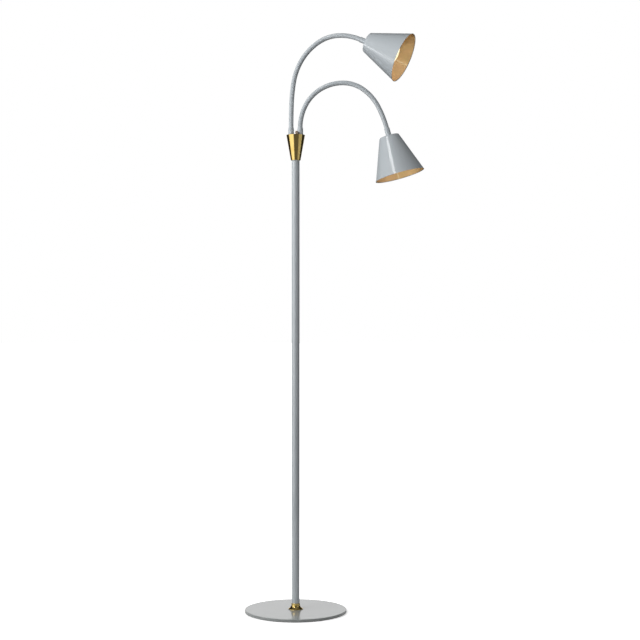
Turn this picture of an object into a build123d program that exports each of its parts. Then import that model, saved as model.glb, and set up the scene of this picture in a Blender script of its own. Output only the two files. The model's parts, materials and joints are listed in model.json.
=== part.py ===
"""Floor lamp with two gooseneck arms: a round steel base, one pole and two conical shades.

Millimetres, +Z up. The origin is the centre of the base's underside, on the pole's axis, and both
arms reach towards +X. Each neck is a flexible hose, divided into short rigid sections that meet in
ball knuckles, so that the neck can be bent. The sections stand in the bend that the photograph shows.
"""

from build123d import *
from math import asin, ceil, cos, degrees, radians, sin, sqrt
import os

os.makedirs("parts", exist_ok=True)

# ---------------------------------------------------------------- driving dimensions

# base
base_diameter = 250.0
base_plate_thickness = 6.5
base_edge_chamfer = 1.2
pad_diameter = 240.0
pad_thickness = 1.5
cord_channel_width = 6.4
cord_channel_depth = 3.6
grommet_length = 9.0
grommet_wall = 0.9

# threaded lamp tube, M10x1, that clamps base, pole, collar and arms
thread_diameter = 10.0
thread_bore = 7.0
nipple_length = 20.0
lock_nut_width = 14.0
lock_nut_height = 3.0
lock_washer_diameter = 16.0
lock_washer_thickness = 0.8
nut_recess_diameter = 30.0
nut_recess_spare = 0.5
thread_clearance = 0.05
nipple_gap = 0.3
nipple_overhang = 1.5
hole_clearance = 0.1

# pole
pole_diameter = 19.0
pole_wall = 1.2
pole_length = 1104.0
insert_length = 15.0
insert_clearance = 0.05
foot_cone_diameter = 36.0
foot_cone_lip = 1.2
foot_cone_waist_diameter = 25.0
foot_cone_waist_height = 5.5
foot_cone_top_diameter = 20.6
foot_cone_height = 15.0
sleeve_clearance = 0.1

# collar that carries the arms
collar_bottom_diameter = 24.0
collar_top_diameter = 46.0
collar_height = 62.0
collar_wall = 1.2
collar_floor = 3.0
collar_plate_thickness = 2.0
collar_plate_recess = 1.5
collar_plate_clearance = 0.1
connector_size = (15.0, 9.0, 14.0)
connector_bore = 3.0
connector_pitch = 6.0

# push switch in the collar's plate
switch_x = 2.5
switch_y = -9.5
switch_box = (9.0, 9.0, 12.0)
switch_drop = 4.2
bushing_diameter = 8.6
bushing_height = 3.0
switch_nut_width = 11.0
switch_nut_height = 2.0
switch_nut_turn = 17.5
button_diameter = 7.2
button_top_above_plate = 10.6
button_travel = 2.5
button_clearance = 0.1
button_crown = 1.0
button_floor = 0.3

# arms: place of each one on the collar, the way it points, and how far each section of its neck bends
arm_offset = 11.2
neck_diameter = 11.4
neck_section_length = 56.6
neck_corner_angle = 18.0
upper_heading = -17.2
lower_heading = -10.8
upper_bend_angles = (2.1, 8.1, 23.0, 24.5, 32.8, 24.3)
lower_bend_angles = (27.9, 33.3, 30.5, 35.7, 25.4, 11.6)
knuckle_clearance = 0.3
knuckle_nose_angle = 50.0
foot_ferrule_diameter = 14.0
foot_ferrule_tip_diameter = 12.8
foot_ferrule_height = 20.0
foot_ferrule_taper = 6.0
neck_engagement = 12.0

# head at the end of each arm
end_ferrule_diameter = 13.4
end_ferrule_length = 20.0
spigot_length = 12.0
shade_cap_diameter = 48.0
shade_mouth_diameter = 122.0
shade_length = 100.0
shade_edge = 2.5
shade_wall = 0.8
liner_wall = 0.5
liner_clearance = 0.2
liner_setback = 1.0
holder_diameter = 28.0
holder_length = 31.0
holder_bore_length = 18.0
pin_diameter = 5.0
pin_length = 7.0
pin_pitch = 10.0
pin_clearance = 0.5
bulb_base_diameter = 24.0
bulb_base_length = 5.0
bulb_diameter = 50.0
bulb_length = 44.0
bulb_rim = 5.0
bulb_seat = 0.3
bulb_lens_diameter = 46.0
bulb_lens_seat = 1.0
bulb_lens_crown = 1.6
bulb_lens_clearance = 0.1


# ---------------------------------------------------------------- helpers


def turned(*corners):
    """A solid turned about Z, from the (radius, height) corners of its half section."""
    section = make_face(Polyline(*corners, close=True))
    return revolve(Plane.XZ * section, Axis.Z)


def ring(outer_diameter, inner_diameter, height, foot=0.0):
    """A plain ring that stands on the height foot."""
    inside, outside = inner_diameter / 2, outer_diameter / 2
    return turned((inside, foot), (outside, foot), (outside, foot + height), (inside, foot + height))


def save(name, *solids):
    """Write one node; pieces that are alike share one as separate solids."""
    whole = solids[0] if len(solids) == 1 else Compound(children=list(solids))
    whole.label = name
    export_step(whole, f"parts/{name}.step")
    return whole


# ---------------------------------------------------------------- heights that follow from the sizes

plate_foot = pad_thickness
plate_top = plate_foot + base_plate_thickness
pole_foot = plate_top
pole_top = pole_foot + pole_length
pole_bore = pole_diameter - 2 * pole_wall
collar_floor_top = pole_top + collar_floor
collar_top = pole_top + collar_height
arm_plate_top = collar_top - collar_plate_recess
arm_plate_foot = arm_plate_top - collar_plate_thickness
arm_foot = arm_plate_top + foot_ferrule_height
thread_hole = thread_diameter + 2 * thread_clearance
clear_hole = thread_diameter + 2 * hole_clearance


# ---------------------------------------------------------------- fasteners


def lock_nut(x, foot):
    """A thin hexagon nut on the lamp tube."""
    outline = RegularPolygon(lock_nut_width / 2, 6, major_radius=False, rotation=30)
    blank = extrude(outline, lock_nut_height)
    bore = Cylinder(thread_hole / 2, 3 * lock_nut_height)
    return Pos(x, 0, foot) * (blank - bore)


def nipple(x, foot):
    """A length of hollow threaded lamp tube."""
    return Pos(x, 0, foot) * ring(thread_diameter, thread_bore, nipple_length)


def lock_washer(x, foot):
    """The ring between a lock nut and what it clamps."""
    return Pos(x, 0, foot) * ring(lock_washer_diameter, clear_hole, lock_washer_thickness)


nut_stack = lock_washer_thickness + lock_nut_height
nut_recess_depth = nut_stack + nut_recess_spare
nut_recess_top = plate_foot + nut_recess_depth
base_nut_foot = nut_recess_top - nut_stack
collar_nipple_foot = collar_floor_top + nut_stack + nipple_overhang - nipple_length
arm_nipple_foot = arm_foot - neck_engagement - nipple_gap - nipple_length


def fasteners():
    """Four nuts, washers and lamp tubes: at the base, on the collar's floor and under each arm."""
    save(
        "lock_nuts",
        lock_nut(0, base_nut_foot),
        lock_nut(0, collar_floor_top + lock_washer_thickness),
        lock_nut(-arm_offset, arm_plate_foot - nut_stack),
        lock_nut(arm_offset, arm_plate_foot - nut_stack),
    )
    save(
        "lock_washers",
        lock_washer(0, nut_recess_top - lock_washer_thickness),
        lock_washer(0, collar_floor_top),
        lock_washer(-arm_offset, arm_plate_foot - lock_washer_thickness),
        lock_washer(arm_offset, arm_plate_foot - lock_washer_thickness),
    )
    save(
        "threaded_nipples",
        nipple(0, base_nut_foot),
        nipple(0, collar_nipple_foot),
        nipple(-arm_offset, arm_nipple_foot),
        nipple(arm_offset, arm_nipple_foot),
    )


# ---------------------------------------------------------------- base


def base():
    """A solid steel disc on a thin pad, with a channel underneath that leads the cord to the rear."""
    radius = base_diameter / 2
    disc = turned(
        (0, plate_foot),
        (radius, plate_foot),
        (radius, plate_top - base_edge_chamfer),
        (radius - base_edge_chamfer, plate_top),
        (0, plate_top),
    )
    recess = Pos(0, 0, plate_foot) * Cylinder(nut_recess_diameter / 2, 2 * nut_recess_depth)
    bore = Pos(0, 0, plate_foot) * Cylinder(clear_hole / 2, 3 * base_plate_thickness)
    channel = Pos(0, radius / 2, plate_foot) * Box(cord_channel_width, radius, 2 * cord_channel_depth)
    save("base_plate", disc - recess - bore - channel)

    save("base_pad", Cylinder(pad_diameter / 2, pad_thickness, align=(Align.CENTER, Align.CENTER, Align.MIN)))

    low = (Align.CENTER, Align.MAX, Align.MIN)
    block = Box(cord_channel_width, grommet_length, cord_channel_depth, align=low)
    slot_width = cord_channel_width - 2 * grommet_wall
    slot_height = cord_channel_depth - 2 * grommet_wall
    slot = Pos(0, 0, grommet_wall) * Box(slot_width, grommet_length, slot_height, align=low)
    rear = sqrt(radius**2 - (cord_channel_width / 2) ** 2)
    save("cord_grommet", Pos(0, rear, plate_foot) * (block - slot))


# ---------------------------------------------------------------- pole


def pole():
    """A steel tube with a threaded insert in each end, and a brass cone over its foot."""
    save("pole_tube", ring(pole_diameter, pole_bore, pole_length, pole_foot))
    insert = pole_bore - 2 * insert_clearance
    save(
        "pole_inserts",
        ring(insert, thread_hole, insert_length, pole_foot),
        ring(insert, thread_hole, insert_length, pole_top - insert_length),
    )
    sleeve = pole_diameter / 2 + sleeve_clearance
    save(
        "foot_cone",
        turned(
            (sleeve, plate_top),
            (foot_cone_diameter / 2, plate_top),
            (foot_cone_diameter / 2, plate_top + foot_cone_lip),
            (foot_cone_waist_diameter / 2, plate_top + foot_cone_waist_height),
            (foot_cone_top_diameter / 2, plate_top + foot_cone_height),
            (sleeve, plate_top + foot_cone_height),
        ),
    )


# ---------------------------------------------------------------- collar

collar_flare = (collar_top_diameter - collar_bottom_diameter) / 2 / collar_height


def collar_inside(height):
    """Inner radius of the collar's wall at a height."""
    return collar_bottom_diameter / 2 + collar_flare * (height - pole_top) - collar_wall


def collar():
    """A brass cone on top of the pole, closed by a round plate that carries both arms and the switch."""
    save(
        "collar_shell",
        turned(
            (clear_hole / 2, pole_top),
            (collar_bottom_diameter / 2, pole_top),
            (collar_top_diameter / 2, collar_top),
            (collar_top_diameter / 2 - collar_wall, collar_top),
            (collar_inside(collar_floor_top), collar_floor_top),
            (clear_hole / 2, collar_floor_top),
        ),
    )
    edge = collar_plate_clearance
    disc = turned(
        (0, arm_plate_foot),
        (collar_inside(arm_plate_foot) - edge, arm_plate_foot),
        (collar_inside(arm_plate_top) - edge, arm_plate_top),
        (0, arm_plate_top),
    )
    for x in (-arm_offset, arm_offset):
        disc -= Pos(x, 0, arm_plate_top) * Cylinder(clear_hole / 2, 3 * collar_plate_thickness)
    hole = Cylinder(bushing_diameter / 2 + hole_clearance, 3 * collar_plate_thickness)
    save("collar_plate", disc - Pos(switch_x, switch_y, arm_plate_top) * hole)


def wire_connector():
    """A terminal block on the end of the collar's lamp tube, with one bore for each pole of the cord."""
    length, depth, height = connector_size
    block = Box(length, depth, height, align=(Align.CENTER, Align.CENTER, Align.MIN))
    for x in (-connector_pitch / 2, connector_pitch / 2):
        block -= Pos(x, 0, 0) * Cylinder(connector_bore / 2, 3 * height)
    save("wire_connector", Pos(0, 0, collar_nipple_foot + nipple_length + nipple_gap) * block)


# ---------------------------------------------------------------- switch


def switch():
    """A push switch that a nut holds in the plate, and the button that slides in its bushing."""
    here = Pos(switch_x, switch_y, 0)
    bore = button_diameter / 2 + button_clearance
    bushing_top = arm_plate_top + bushing_height
    box_top = arm_plate_foot - switch_drop
    box = Box(*switch_box, align=(Align.CENTER, Align.CENTER, Align.MAX))
    button_top = arm_plate_top + button_top_above_plate
    button_foot = box_top + button_travel + button_floor
    neck = turned(
        (0, box_top),
        (bushing_diameter / 2, box_top),
        (bushing_diameter / 2, bushing_top),
        (bore, bushing_top),
        (bore, box_top + button_floor / 2),
        (0, box_top + button_floor / 2),
    )
    save("switch_body", here * (Pos(0, 0, box_top) * box + neck))
    outline = RegularPolygon(switch_nut_width / 2, 6, major_radius=False, rotation=switch_nut_turn)
    nut = extrude(outline, switch_nut_height)
    nut -= Cylinder(bushing_diameter / 2 + thread_clearance, 3 * switch_nut_height)
    save("switch_nut", here * Pos(0, 0, arm_plate_top) * nut)
    save(
        "switch_button",
        here
        * turned(
            (0, button_foot),
            (button_diameter / 2, button_foot),
            (button_diameter / 2, button_top - button_crown),
            (button_diameter / 2 - button_crown, button_top),
            (0, button_top),
        ),
    )


# ---------------------------------------------------------------- necks

neck_radius = neck_diameter / 2
knuckle_radius = neck_radius + knuckle_clearance
knuckle_gap = sqrt(knuckle_radius**2 - neck_radius**2)
knuckle_swing = degrees(2 * asin(knuckle_gap / knuckle_radius))


def section_path(bend):
    """Corner points of one section, from the origin up +Z and bending towards +X, and the bend at each."""
    corners = max(1, ceil(bend / neck_corner_angle))
    run = neck_section_length / corners
    x, z, tilt = 0.0, 0.0, 0.0
    points = [(x, 0.0, z)]
    for length in [run / 2] + [run] * (corners - 1) + [run / 2]:
        x += length * sin(radians(tilt))
        z += length * cos(radians(tilt))
        points.append((x, 0.0, z))
        tilt += bend / corners
    return points


def neck_section(bend, first, last):
    """One rigid length of the neck: a socket at its start and a nose at its end."""
    points = section_path(bend)
    if first:
        points[0] = (0.0, 0.0, -neck_engagement)
    tube = sweep(Pos(*points[0]) * Circle(neck_radius), path=Polyline(*points), transition=Transition.RIGHT)
    if not first:
        taper = knuckle_gap / neck_radius
        tube -= turned(
            (0, -1),
            (neck_diameter, -1),
            (neck_diameter, knuckle_gap),
            (neck_radius, knuckle_gap),
            (neck_radius - taper * (knuckle_radius - knuckle_gap), knuckle_radius),
            (0, knuckle_radius),
        )
    if not last:
        slope = radians(knuckle_nose_angle)
        nose = turned(
            (0, 0),
            (neck_radius, 0),
            (neck_radius * cos(slope), neck_radius * sin(slope)),
            (0, neck_radius * sin(slope)),
        )
        tube += section_end(bend) * nose
    return tube


def section_end(bend):
    """Where a section ends, seen from its start."""
    return Location(section_path(bend)[-1], (0, bend, 0))


def arm_start(offset, heading):
    """Foot of a neck, on top of its ferrule."""
    return Location((offset, 0, arm_foot), (0, 0, heading))


def stations(offset, heading, bends):
    """The place and direction at the start of each section, and at the end of the last."""
    place = arm_start(offset, heading)
    found = [place]
    for bend in bends:
        place = place * section_end(bend)
        found.append(place)
    return found


# ---------------------------------------------------------------- head

shade_flare = (shade_mouth_diameter - shade_cap_diameter) / 2 / shade_length
cap_plane = end_ferrule_length
mouth_plane = cap_plane + shade_length
flare_slant = sqrt(1 + shade_flare**2)


def shell_section(inset, setback):
    """Half section of the shade's line at an inset from its outside: hub, shoulder, edge and rim."""
    cap = cap_plane + inset
    side = shade_cap_diameter / 2 - inset * flare_slant
    edge = cap_plane + shade_edge + inset * 0.5
    rim = mouth_plane - setback
    return (
        (clear_hole / 2, cap),
        (side + shade_flare * inset - shade_edge, cap),
        (side + shade_flare * (edge - cap_plane), edge),
        (side + shade_flare * (rim - cap_plane), rim),
    )


def shell(outer_inset, wall, setback):
    """A conical sheet between two insets from the shade's outside."""
    outside = shell_section(outer_inset, setback)
    inside = shell_section(outer_inset + wall, setback)
    return turned(*outside, *reversed(inside))


liner_inset = shade_wall + liner_clearance
holder_foot = cap_plane + liner_inset + liner_wall
holder_top = holder_foot + holder_length
bulb_foot = holder_top + bulb_seat
bulb_front = bulb_foot + bulb_length


def pins(spare=0.0):
    """The two pins behind a bulb, or with some spare the bores that take them."""
    pin = Cylinder(pin_diameter / 2 + spare, pin_length + spare, align=(Align.CENTER, Align.CENTER, Align.MAX))
    return [Pos(x, 0, bulb_foot) * pin for x in (-pin_pitch / 2, pin_pitch / 2)]


def holder():
    """The lamp holder: it screws on the ferrule's spigot, clamps shade and liner, and takes the bulb's pins."""
    body = turned(
        (thread_hole / 2, holder_foot),
        (holder_diameter / 2, holder_foot),
        (holder_diameter / 2, holder_top),
        (0, holder_top),
        (0, holder_foot + holder_bore_length),
        (thread_hole / 2, holder_foot + holder_bore_length),
    )
    for bore in pins(pin_clearance):
        body -= bore
    return body


def bulb_body():
    """The bulb's opaque body: a round foot that widens to the rim around the lens."""
    foot, rim = bulb_base_diameter / 2, bulb_diameter / 2
    seat = bulb_lens_diameter / 2 + bulb_lens_clearance
    return turned(
        (0, bulb_foot),
        (foot, bulb_foot),
        (foot, bulb_foot + bulb_base_length),
        (rim, bulb_front - bulb_rim),
        (rim, bulb_front),
        (seat, bulb_front),
        (seat, bulb_front - bulb_lens_seat),
        (0, bulb_front - bulb_lens_seat),
    )


def bulb_lens():
    """The frosted lens that closes the bulb, slightly crowned."""
    radius = bulb_lens_diameter / 2
    return turned(
        (0, bulb_front - bulb_lens_seat),
        (radius, bulb_front - bulb_lens_seat),
        (radius, bulb_front),
        (radius * 0.6, bulb_front + bulb_lens_crown * 0.7),
        (0, bulb_front + bulb_lens_crown),
    )


def head(name, place):
    """Everything that one arm carries, on the axis of the neck's end."""
    spigot_top = cap_plane + liner_inset + liner_wall + spigot_length
    save(
        f"{name}_end_ferrule",
        place
        * turned(
            (0, 0),
            (end_ferrule_diameter / 2, 0),
            (end_ferrule_diameter / 2, cap_plane),
            (thread_diameter / 2, cap_plane),
            (thread_diameter / 2, spigot_top),
            (0, spigot_top),
        ),
    )
    save(f"{name}_shade", place * shell(0, shade_wall, 0))
    save(f"{name}_liner", place * shell(liner_inset, liner_wall, liner_setback))
    save(f"{name}_lamp_holder", place * holder())
    save(f"{name}_bulb_body", place * bulb_body())
    save(f"{name}_bulb_lens", place * bulb_lens())
    save(f"{name}_bulb_pins", *(place * pin for pin in pins()))


# ---------------------------------------------------------------- arms


def foot_ferrule(offset):
    """The sleeve that holds a neck's foot, on top of the collar's plate."""
    neck_seat = foot_ferrule_height - neck_engagement - hole_clearance
    return Pos(offset, 0, arm_plate_top) * turned(
        (clear_hole / 2, 0),
        (foot_ferrule_diameter / 2, 0),
        (foot_ferrule_diameter / 2, foot_ferrule_height - foot_ferrule_taper),
        (foot_ferrule_tip_diameter / 2, foot_ferrule_height),
        (neck_radius + hole_clearance, foot_ferrule_height),
        (neck_radius + hole_clearance, neck_seat),
        (clear_hole / 2, neck_seat),
    )


def arm(name, offset, heading, bends):
    """One neck in its sections, and the head at its end."""
    places = stations(offset, heading, bends)
    for number, (place, bend) in enumerate(zip(places, bends), 1):
        piece = neck_section(bend, number == 1, number == len(bends))
        save(f"{name}_neck_{number}", place * piece)
    head(name, places[-1])


base()
pole()
fasteners()
collar()
wire_connector()
switch()
save("foot_ferrules", foot_ferrule(-arm_offset), foot_ferrule(arm_offset))
arm("upper", -arm_offset, upper_heading, upper_bend_angles)
arm("lower", arm_offset, lower_heading, lower_bend_angles)

print(f"a knuckle swings {knuckle_swing:.1f} degrees before its rim meets the next section")
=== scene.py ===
"""The looks of a floor lamp with two gooseneck arms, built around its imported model.

The file is laid out as an add-on: property groups hold the sizes and colours, each piece or group of
like pieces has an operator, and one panel lists them. Everything is in metres and radians, in the
model's own frame: +Z up along the pole, both arms reach towards +X, and the camera looks along +Y.
"""

import json
from math import atan2, cos, hypot, pi, radians, sin, tau

import bmesh
import bpy
from bpy.props import (
    FloatProperty,
    FloatVectorProperty,
    IntProperty,
    PointerProperty,
)
from mathutils import Matrix, Vector
from mathutils.geometry import interpolate_bezier

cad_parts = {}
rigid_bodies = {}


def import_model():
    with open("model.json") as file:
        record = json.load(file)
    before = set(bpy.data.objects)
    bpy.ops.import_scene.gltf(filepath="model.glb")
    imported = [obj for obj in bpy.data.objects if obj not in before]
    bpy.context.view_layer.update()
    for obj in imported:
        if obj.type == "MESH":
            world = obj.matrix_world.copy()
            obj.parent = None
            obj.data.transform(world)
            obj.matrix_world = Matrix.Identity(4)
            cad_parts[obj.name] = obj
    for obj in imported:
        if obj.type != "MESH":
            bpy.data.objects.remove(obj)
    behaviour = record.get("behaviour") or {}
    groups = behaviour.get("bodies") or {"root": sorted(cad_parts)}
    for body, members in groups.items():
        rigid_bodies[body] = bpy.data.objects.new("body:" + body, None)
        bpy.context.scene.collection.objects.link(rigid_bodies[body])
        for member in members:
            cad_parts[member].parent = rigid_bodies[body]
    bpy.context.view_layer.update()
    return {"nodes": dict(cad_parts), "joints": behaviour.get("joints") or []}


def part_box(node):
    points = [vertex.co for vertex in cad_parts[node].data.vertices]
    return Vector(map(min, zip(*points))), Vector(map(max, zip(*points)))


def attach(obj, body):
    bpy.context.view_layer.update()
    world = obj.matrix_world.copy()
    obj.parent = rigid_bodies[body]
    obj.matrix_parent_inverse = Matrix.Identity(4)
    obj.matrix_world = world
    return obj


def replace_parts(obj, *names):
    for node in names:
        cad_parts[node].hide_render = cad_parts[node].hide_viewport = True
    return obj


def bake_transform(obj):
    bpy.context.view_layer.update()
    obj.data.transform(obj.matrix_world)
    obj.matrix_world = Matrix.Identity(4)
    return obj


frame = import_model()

bl_info = {
    "name": "Gooseneck Floor Lamp",
    "version": (1, 0, 0),
    "blender": (4, 5, 0),
    "location": "3D View > Sidebar > Floor Lamp",
    "description": "Models and paints a floor lamp with two gooseneck arms",
    "category": "Add Mesh",
}

MM = 0.001
SAME_PLACE = 0.001 * MM
ARMS = ("upper", "lower")
SECTIONS = 6

# Faces around a turned shape, from the widest to the thinnest.
AROUND_BASE = 256
AROUND_SHADE = 192
AROUND_COLLAR = 160
AROUND_TRIM = 128
AROUND_TUBE = 96
AROUND_SLEEVE = 64
AROUND_BUTTON = 48


# ---------------------------------------------------------------- sizes and colours


def length(name, description, millimetres):
    """A size that the panel shows as a length."""
    default = millimetres * MM
    return FloatProperty(name=name, description=description, default=default, unit="LENGTH", precision=5)


def colour(name, description, red, green, blue):
    """A colour, as linear light."""
    return FloatVectorProperty(
        name=name, description=description, default=(red, green, blue), subtype="COLOR", min=0, max=1
    )


def factor(name, description, value):
    """A plain number from 0 to 1."""
    return FloatProperty(name=name, description=description, default=value, min=0, max=1, subtype="FACTOR")


def angle(name, description, degrees):
    """An angle that the panel shows in degrees."""
    return FloatProperty(name=name, description=description, default=radians(degrees), unit="ROTATION")


def angles(name, description, degrees):
    """One angle for each section of a neck."""
    default = [radians(bend) for bend in degrees]
    return FloatVectorProperty(
        name=name, description=description, default=default, size=SECTIONS, unit="ROTATION"
    )


def count(name, description, number):
    """A whole number of things."""
    return IntProperty(name=name, description=description, default=number, min=1)


def radiance(name, description, value):
    """How bright something that gives light is."""
    return FloatProperty(name=name, description=description, default=value, min=0)


class LampStandSizes(bpy.types.PropertyGroup):
    """Base, foot trim, pole and collar."""

    base_round: length("Base rounding", "Radius on the base's upper edge", 1.6)
    base_under_round: length("Lower rounding", "Radius on the base's lower edge", 0.4)
    trim_lip: length("Trim lip", "Height of the foot trim's upright lip", 1.2)
    trim_flare: FloatProperty(
        name="Trim flare", description="How fast the foot trim widens towards the base", default=3.3, min=1
    )
    trim_top: length("Trim top", "Diameter at the top of the foot trim", 20.6)
    trim_bore: length("Trim bore", "Diameter of the hole through the foot trim", 19.2)
    trim_rings: count("Trim rings", "Rings along the foot trim's flare", 20)
    pole_wall: length("Pole wall", "Wall of the pole's tube", 1.2)
    collar_foot: length("Collar foot", "Diameter of the collar's lower end", 24.0)
    collar_wall: length("Collar wall", "Wall of the collar", 1.2)
    collar_floor: length("Collar floor", "Thickness of the collar's floor", 3.0)
    collar_hole: length("Collar hole", "Diameter of the hole in the collar's floor", 10.2)
    crisp: length("Crisp edge", "Radius on the edges of turned brass", 0.35)
    ferrule_foot: length("Ferrule diameter", "Diameter of the sleeves that hold the necks", 14.0)
    ferrule_tip: length("Ferrule tip", "Diameter at the top of those sleeves", 12.8)
    ferrule_taper: length("Ferrule taper", "Length of the sleeves' taper", 6.0)
    ferrule_bore: length("Ferrule bore", "Diameter of the hole that a neck stands in", 11.6)
    ferrule_seat: length("Ferrule seat", "Depth of that hole", 12.1)
    button_crown: factor("Button crown", "Rounding of the button's top, as a share of its radius", 0.45)


class LampArmSizes(bpy.types.PropertyGroup):
    """Where the two necks point and how each sixth of them bends."""

    neck_diameter: length("Neck diameter", "Diameter of the flexible necks", 11.4)
    neck_foot: length("Neck foot", "How deep a neck sits in its ferrule", 12.0)
    upper_heading: angle("Upper heading", "The way the upper arm points", -17.2)
    lower_heading: angle("Lower heading", "The way the lower arm points", -10.8)
    upper_bends: angles("Upper bends", "Bend of each sixth", (2.1, 8.1, 23.0, 24.5, 32.8, 24.3))
    lower_bends: angles("Lower bends", "Bend of each sixth", (27.9, 33.3, 30.5, 35.7, 25.4, 11.6))
    steps: count("Steps", "Rings along each sixth of a neck", 24)
    sides: count("Sides", "Faces around a neck", 40)


class LampHeadSizes(bpy.types.PropertyGroup):
    """What hangs on the end of each neck, measured along the shade's axis from there."""

    ferrule_diameter: length("End ferrule", "Diameter of the sleeve between neck and shade", 13.4)
    cap_plane: length("Cap plane", "Where the shade's flat cap lies", 20.0)
    spigot: length("Spigot", "Diameter of the tube that holds the shade", 10.0)
    spigot_end: length("Spigot end", "Where that tube ends", 33.5)
    shade_length: length("Shade length", "Length of the shade", 100.0)
    cap_diameter: length("Cap diameter", "Diameter of the shade's cap", 48.0)
    mouth_diameter: length("Mouth diameter", "Diameter of the shade's mouth", 122.0)
    shoulder: length("Shoulder", "Size of the rounding between cap and cone", 2.5)
    rim_round: length("Rim rounding", "Radius on the edges of the shade's mouth", 0.3)
    shade_wall: length("Shade wall", "Thickness of the shade's sheet", 0.8)
    liner_gap: length("Lining gap", "Room between shade and lining", 0.2)
    liner_wall: length("Lining wall", "Thickness of the lining", 0.5)
    liner_setback: length("Lining setback", "How far the lining ends inside the mouth", 1.0)
    hole: length("Hole", "Diameter of the hole in shade and lining", 10.2)
    seam_angle: angle("Seam", "Where the lining's seam runs", 80.0)
    seam_width: length("Seam width", "Width of the lining's folded seam", 2.4)
    seam_height: length("Seam height", "How far the folded seam stands proud", 0.35)
    holder_diameter: length("Holder diameter", "Diameter of the lamp holder", 28.0)
    grooves: count("Grooves", "Grooves in the holder's grip", 5)
    groove_depth: length("Groove depth", "Depth of those grooves", 0.7)
    holder_start: length("Holder start", "Where the lamp holder begins", 21.5)
    holder_length: length("Holder length", "Length of the lamp holder", 31.0)
    holder_bore: length("Holder bore", "Depth of the hole that the spigot screws into", 18.0)
    thread_play: length("Thread play", "Room around the spigot in that hole", 0.05)
    pin_bore: length("Pin bore", "Diameter of the holes for the bulb's pins", 6.0)
    pin_depth: length("Pin depth", "Depth of those holes", 7.2)
    pin_pitch: length("Pin pitch", "Distance between those holes", 10.0)
    bulb_seat: length("Bulb seat", "Gap between holder and bulb", 0.3)
    bulb_foot: length("Bulb foot", "Diameter of the bulb's foot", 24.0)
    bulb_diameter: length("Bulb diameter", "Diameter of the bulb's rim", 50.0)
    bulb_length: length("Bulb length", "Length of the bulb without its pins", 44.0)
    bulb_rim: length("Bulb rim", "Height of the bulb's rim", 5.0)
    lens_diameter: length("Lens diameter", "Diameter of the bulb's lens", 46.0)
    lens_seat: length("Lens seat", "How deep the lens is set into the rim", 1.0)
    lens_play: length("Lens play", "Room between lens and rim", 0.1)
    lens_crown: length("Lens crown", "How far the lens rises in its middle", 4.0)


class LampFinishes(bpy.types.PropertyGroup):
    """Colours of the lamp, as linear light."""

    paint: colour("Paint", "Pale blue-grey lacquer of pole, necks and shades", 0.54, 0.585, 0.615)
    base_paint: colour("Base paint", "Glossy lacquer of the base", 0.36, 0.38, 0.375)
    brass: colour("Brass", "Polished brass of collar and foot trim", 0.84, 0.62, 0.22)
    brass_shade: colour("Old brass", "Where the brass has darkened a little", 0.68, 0.46, 0.12)
    button: colour("Button", "Pinkish brass of the switch", 0.80, 0.56, 0.44)
    gold: colour("Gold", "Lining of the shades", 0.90, 0.62, 0.27)
    # Warmer gold, used for random mottle and for a painted reflection on one side of the lining's seam.
    gold_warm: colour("Warm gold", "Warmer patches of the lining", 0.92, 0.56, 0.29)
    # A painted highlight along the lining's folded seam.
    seam: colour("Seam", "Folded edge of the lining", 1.0, 0.80, 0.50)
    glow: colour("Glow", "Light of the bulbs", 1.0, 0.88, 0.56)
    glow_strength: radiance("Glow strength", "Strength of the bulbs' light", 1.15)
    ivory: colour("Ivory", "Plastic of the lamp holders and the wire connector", 0.72, 0.68, 0.58)
    bulb_white: colour("Bulb white", "Plastic of the bulbs' bodies", 0.74, 0.74, 0.71)
    switch_black: colour("Switch black", "Plastic of the switch's body", 0.02, 0.02, 0.02)
    lens_frost: colour("Frost", "Glass of the bulbs' lenses", 0.92, 0.90, 0.84)
    zinc: colour("Zinc", "Plating of nuts, washers, nipples and inserts", 0.66, 0.66, 0.64)
    zinc_dark: colour("Dark zinc", "Grain of that plating", 0.50, 0.50, 0.48)
    foam_black: colour("Foam", "Foam of the pad and rubber of the grommet", 0.05, 0.05, 0.048)
    # Painted shade in the foam's pores.
    foam_cell: colour("Foam cells", "Depth of the foam's cells", 0.018, 0.018, 0.018)


class LampStageSettings(bpy.types.PropertyGroup):
    """Camera, floor and lights."""

    camera_place: FloatVectorProperty(
        name="Camera",
        description="Where the camera stands",
        default=(0.0598, -3.5, 0.719),
        subtype="TRANSLATION",
    )
    lens: FloatProperty(name="Lens", description="Focal length in millimetres", default=80.0, min=1)
    floor_radius: length("Floor radius", "Radius of the floor", 40000.0)
    key_light: radiance("Key light", "Radiance of the big soft box", 1.2)
    fill_light: radiance("Fill light", "Radiance of the weak soft box", 0.34)
    strip_light: radiance("Strip light", "Radiance of the two strips", 6.0)
    silk_light: radiance("Silk light", "Radiance of the light silk", 4.4)
    inner_light: radiance("Inner light", "Radiance of the boxes that light the linings alone", 15.0)
    sky: factor("Ambient", "Light from all around", 0.28)


GROUPS = {
    "lamp_stand": LampStandSizes,
    "lamp_arms": LampArmSizes,
    "lamp_heads": LampHeadSizes,
    "lamp_finishes": LampFinishes,
    "lamp_stage": LampStageSettings,
}


# ---------------------------------------------------------------- shader maths


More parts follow.
